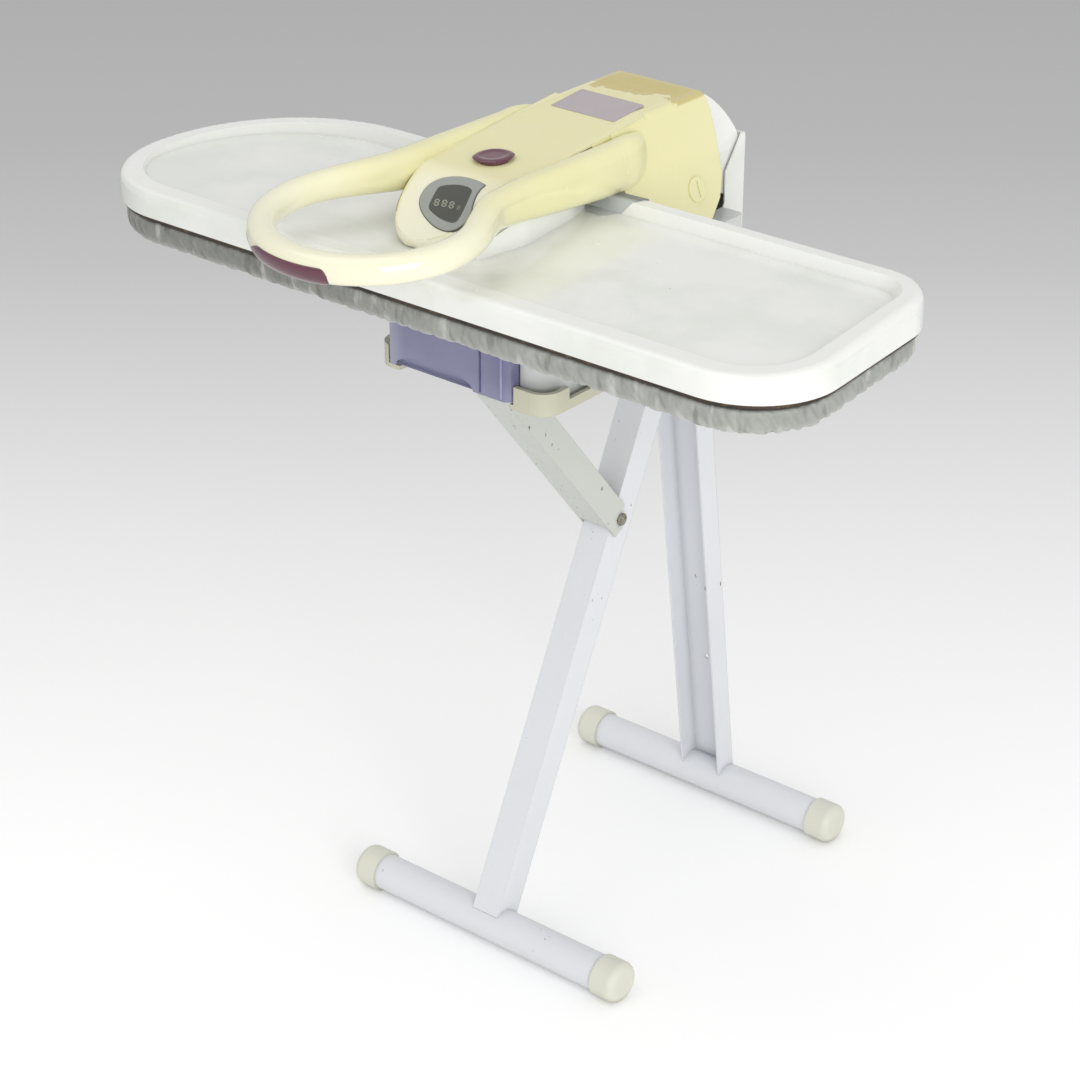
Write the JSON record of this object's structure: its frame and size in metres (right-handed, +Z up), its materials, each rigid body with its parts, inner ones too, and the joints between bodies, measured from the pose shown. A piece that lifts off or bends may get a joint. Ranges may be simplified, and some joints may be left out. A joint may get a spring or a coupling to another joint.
{
  "type": "steam press on folding stand",
  "caption": "Steam ironing press with a hinged heated plate, padded board, water tank and looped handle, on a folding A-frame stand.",
  "frame": {"origin": "on the floor, under the middle of the whole object's bounding box", "axes": "+X along the pressing plate towards its square end, +Y from the front edge towards the hinge, +Z up"},
  "size_m": [0.7238, 0.6227, 0.7959],
  "materials": {
    "cover_white": "glossy off-white",
    "arm_cream": "glossy, yellowed cream",
    "console_cream": "satin cream",
    "burgundy": "glossy burgundy",
    "bezel_grey": "satin grey",
    "display": "dark display",
    "plate_grey": "satin grey-mauve",
    "board_green": "circuit board",
    "dark_edge": "dark heat-stained",
    "sole": "smooth cast",
    "heater": "drawn tube",
    "fabric_silver": "silvered cotton",
    "foam": "felt and foam",
    "steel_board": "grey paint",
    "frame_steel": "zinc plated",
    "base_grey": "light grey",
    "tank_purple": "clear tinted plastic",
    "cap_white": "white",
    "valve_rubber": "black rubber",
    "pump_black": "black",
    "cradle_cream": "cream, yellowed",
    "leg_white": "white powder coat, chipped",
    "foot_cap": "cream-white",
    "pin_steel": "dull, slightly rusted"
  },
  "bodies": {
    "base": {"pad_cover": "fabric_silver", "foam_pad": "foam", "board_plate": "steel_board", "hinge_axle": "frame_steel", "base_housing": "base_grey", "base_frame": "steel_board", "base_rear_cover": "cover_white", "pump": "pump_black", "cord_gland": "pump_black", "cradle": "cradle_cream", "cradle_bracket": "leg_white", "brace_bracket": "leg_white", "brace_pin": "pin_steel", "rear_leg": "leg_white", "rear_foot_bar": "leg_white", "rear_cap_left": "foot_cap", "rear_cap_right": "foot_cap", "apex_pin": "pin_steel", "apex_bush_left": "cap_white", "apex_bush_right": "cap_white", "lift_spring_left": "heater", "lift_spring_right": "heater"},
    "front_leg": {"front_leg": "leg_white", "leg_pin": "pin_steel", "front_foot_bar": "leg_white", "front_cap_left": "foot_cap", "front_cap_right": "foot_cap"},
    "brace": {"brace_arm": "leg_white"},
    "head": {"plate_cover": "cover_white", "heat_shield": "dark_edge", "heated_plate": "sole", "heating_element": "heater", "thermostat": "pump_black", "arm_cover": "arm_cream", "console_top": "console_cream", "display_bezel": "bezel_grey", "display_window": "display", "control_board": "board_green", "nameplate": "plate_grey", "steam_switch": "pump_black", "arm_base_cover": "cover_white", "recess_plate": "bezel_grey", "arm_frame": "frame_steel", "arm_rear_cover": "cover_white", "handle": "arm_cream", "hinge_bush_left": "valve_rubber", "hinge_bush_right": "valve_rubber", "hinge_cap_left": "arm_cream", "hinge_cap_right": "arm_cream"},
    "steam_button": {"steam_button": "burgundy"},
    "handle_bar": {"handle_bar": "burgundy"},
    "tank": {"water_tank": "tank_purple", "tank_cap": "cap_white", "tank_valve": "valve_rubber"}
  },
  "joints": [
    {"name": "head_open", "type": "hinge", "parent": "base", "child": "head", "pos_m": [-0.028, 0.114, 0.722], "axis": [-1, 0, 0], "range_deg": [0, 45], "stiffness_Nm_per_rad": 4, "springref_deg": 126.05},
    {"name": "front_leg_fold", "type": "hinge", "parent": "base", "child": "front_leg", "pos_m": [-0.048, 0.209, 0.573], "axis": [1, 0, 0], "range_deg": [0, 29]},
    {"name": "brace_swing", "type": "hinge", "parent": "base", "child": "brace", "pos_m": [-0.048, -0.046, 0.579], "axis": [-1, 0, 0], "range_deg": [0, 38]},
    {"name": "tank_pull", "type": "slide", "parent": "base", "child": "tank", "axis": [0, -1, 0], "range_m": [0, 0.09]},
    {"name": "steam_press", "type": "slide", "parent": "head", "child": "steam_button", "axis": [0, 0.08, -0.9968], "range_m": [0, 0.0025], "stiffness_N_per_m": 400, "springref_m": -0.001},
    {"name": "bar_press", "type": "slide", "parent": "head", "child": "handle_bar", "axis": [0, 0.9973, 0.0732], "range_m": [0, 0.0015], "stiffness_N_per_m": 1200, "springref_m": -0.001}
  ]
}
